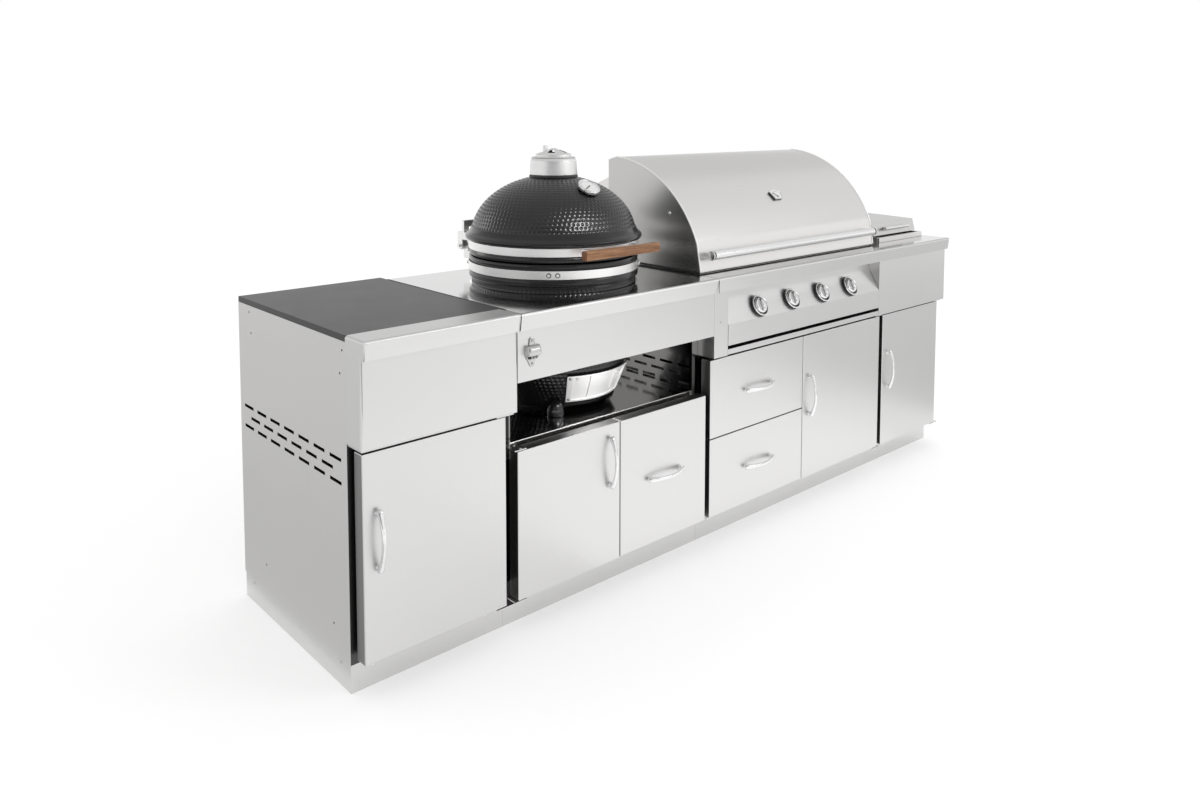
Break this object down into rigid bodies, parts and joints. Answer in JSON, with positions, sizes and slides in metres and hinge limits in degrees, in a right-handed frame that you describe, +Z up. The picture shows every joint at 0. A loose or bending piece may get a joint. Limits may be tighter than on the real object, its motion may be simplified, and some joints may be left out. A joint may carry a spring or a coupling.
{
  "type": "outdoor kitchen",
  "caption": "Row of stainless steel cabinets with a gas grill under a curved hood, a ceramic kamado set in a bay, a lidded side burner and a stone end worktop",
  "frame": {"origin": "on the floor under the middle of the outline", "axes": "+X to the right along the row, -Y out of the fronts, +Z up"},
  "size_m": [2.775, 0.747, 1.3283],
  "materials": {
    "steel_panel": "brushed sheet",
    "steel_worktop": "polished sheet",
    "steel_hood": "brushed along X",
    "bright_metal": "polished",
    "band_steel": "bright band",
    "stone": "honed dark slab",
    "ceramic": "dimpled black glaze",
    "fire_clay": "bare fired clay",
    "cast_iron": "enamelled casting",
    "burner_steel": "plain tube",
    "cast_alloy": "cast, light grey",
    "wood": "oiled hardwood",
    "needle": "black"
  },
  "bodies": {
    "kitchen": {"end_case": "steel_panel", "kamado_case": "steel_panel", "grill_case": "steel_panel", "burner_case": "steel_panel", "plinths": "steel_panel", "stone_top": "stone", "end_front": "steel_panel", "kamado_worktop": "steel_worktop", "kamado_apron": "steel_panel", "kamado_shelf": "steel_worktop", "bottle_opener": "cast_alloy", "grill_worktop": "steel_worktop", "control_surround": "steel_panel", "door_pivots": "steel_panel", "runners": "steel_panel", "panel_screws": "bright_metal", "grill_firebox": "steel_hood", "control_panel": "steel_panel", "knob_bezels": "bright_metal", "gas_manifold": "burner_steel", "grill_burners": "burner_steel", "cooking_grates": "cast_iron", "kamado_bowl": "ceramic", "kamado_feet": "ceramic", "lower_band": "band_steel", "kamado_insert": "fire_clay", "draft_frame": "band_steel", "side_burner": "steel_hood"},
    "end_door": {"end_door": "steel_panel", "end_door_handle": "bright_metal"},
    "kamado_door": {"kamado_door": "steel_panel", "kamado_door_handle": "bright_metal"},
    "grill_door": {"grill_door": "steel_panel", "grill_door_handle": "bright_metal"},
    "burner_door": {"burner_door": "steel_panel", "burner_door_handle": "bright_metal"},
    "tall_drawer": {"tall_drawer": "steel_panel", "tall_drawer_handle": "bright_metal"},
    "upper_drawer": {"upper_drawer": "steel_panel", "upper_drawer_handle": "bright_metal"},
    "lower_drawer": {"lower_drawer": "steel_panel", "lower_drawer_handle": "bright_metal"},
    "drip_tray": {"drip_tray": "steel_panel"},
    "hood": {"hood_shell": "steel_hood", "hood_handle": "steel_hood", "hood_thermometer": "bright_metal"},
    "hood_needle": {"hood_needle": "needle"},
    "burner_lid": {"side_lid": "steel_hood"},
    "kamado_lid": {"kamado_dome": "ceramic", "upper_band": "band_steel", "wood_handle": "wood", "chimney": "cast_alloy", "dome_thermometer": "bright_metal"},
    "vent_wheel": {"vent_wheel": "cast_alloy"},
    "dome_needle": {"dome_needle": "needle"},
    "draft_door": {"draft_door": "band_steel"},
    "knob_1": {"knob_1": "bright_metal"},
    "knob_2": {"knob_2": "bright_metal"},
    "knob_3": {"knob_3": "bright_metal"},
    "knob_4": {"knob_4": "bright_metal"}
  },
  "joints": [
    {"name": "end_door_swing", "type": "hinge", "parent": "kitchen", "child": "end_door", "pos_m": [-0.9655, -0.3265, 0.3555], "axis": [0, 0, 1], "range_deg": [0, 90]},
    {"name": "kamado_door_swing", "type": "hinge", "parent": "kitchen", "child": "kamado_door", "pos_m": [-0.8955, -0.3265, 0.3025], "axis": [0, 0, -1], "range_deg": [0, 90]},
    {"name": "grill_door_swing", "type": "hinge", "parent": "kitchen", "child": "grill_door", "pos_m": [0.8895, -0.3265, 0.358], "axis": [0, 0, 1], "range_deg": [0, 90]},
    {"name": "burner_door_swing", "type": "hinge", "parent": "kitchen", "child": "burner_door", "pos_m": [1.3455, -0.3265, 0.358], "axis": [0, 0, 1], "range_deg": [0, 90]},
    {"name": "tall_drawer_slide", "type": "slide", "parent": "kitchen", "child": "tall_drawer", "axis": [0, -1, 0], "range_m": [0, 0.4]},
    {"name": "upper_drawer_slide", "type": "slide", "parent": "kitchen", "child": "upper_drawer", "axis": [0, -1, 0], "range_m": [0, 0.4]},
    {"name": "lower_drawer_slide", "type": "slide", "parent": "kitchen", "child": "lower_drawer", "axis": [0, -1, 0], "range_m": [0, 0.4]},
    {"name": "drip_tray_slide", "type": "slide", "parent": "kitchen", "child": "drip_tray", "axis": [0, -1, 0], "range_m": [0, 0.35]},
    {"name": "hood_tilt", "type": "hinge", "parent": "kitchen", "child": "hood", "pos_m": [0.4085, 0.1415, 0.95], "axis": [-1, 0, 0], "range_deg": [0, 80]},
    {"name": "hood_needle_turn", "type": "hinge", "parent": "hood", "child": "hood_needle", "pos_m": [0.4085, -0.20376, 1.1251], "axis": [0, 0.75, -0.6614], "range_deg": [0, 100]},
    {"name": "burner_lid_tilt", "type": "hinge", "parent": "kitchen", "child": "burner_lid", "pos_m": [1.1775, 0.1705, 0.933], "axis": [-1, 0, 0], "range_deg": [0, 90]},
    {"name": "kamado_lid_tilt", "type": "hinge", "parent": "kitchen", "child": "kamado_lid", "pos_m": [-0.5215, 0.29, 0.99], "axis": [-1, 0, 0], "range_deg": [0, 75]},
    {"name": "vent_wheel_turn", "type": "hinge", "parent": "kamado_lid", "child": "vent_wheel", "pos_m": [-0.5215, -0.022, 1.291], "axis": [0, 0, 1], "range_deg": [0, 90]},
    {"name": "dome_needle_turn", "type": "hinge", "parent": "kamado_lid", "child": "dome_needle", "pos_m": [-0.5215, -0.19293, 1.20911], "axis": [0, 0.5108, -0.8597], "range_deg": [0, 240]},
    {"name": "draft_door_slide", "type": "hinge", "parent": "kitchen", "child": "draft_door", "pos_m": [-0.5215, -0.022, 0.602], "axis": [0, 0, 1], "range_deg": [0, 14]},
    {"name": "knob_1_turn", "type": "hinge", "parent": "kitchen", "child": "knob_1", "pos_m": [0.1325, -0.33384, 0.769], "axis": [0, -0.8657, 0.5006], "range_deg": [0, 135]},
    {"name": "knob_2_turn", "type": "hinge", "parent": "kitchen", "child": "knob_2", "pos_m": [0.3165, -0.33384, 0.769], "axis": [0, -0.8657, 0.5006], "range_deg": [0, 135]},
    {"name": "knob_3_turn", "type": "hinge", "parent": "kitchen", "child": "knob_3", "pos_m": [0.5005, -0.33384, 0.769], "axis": [0, -0.8657, 0.5006], "range_deg": [0, 135]},
    {"name": "knob_4_turn", "type": "hinge", "parent": "kitchen", "child": "knob_4", "pos_m": [0.6845, -0.33384, 0.769], "axis": [0, -0.8657, 0.5006], "range_deg": [0, 135]}
  ]
}
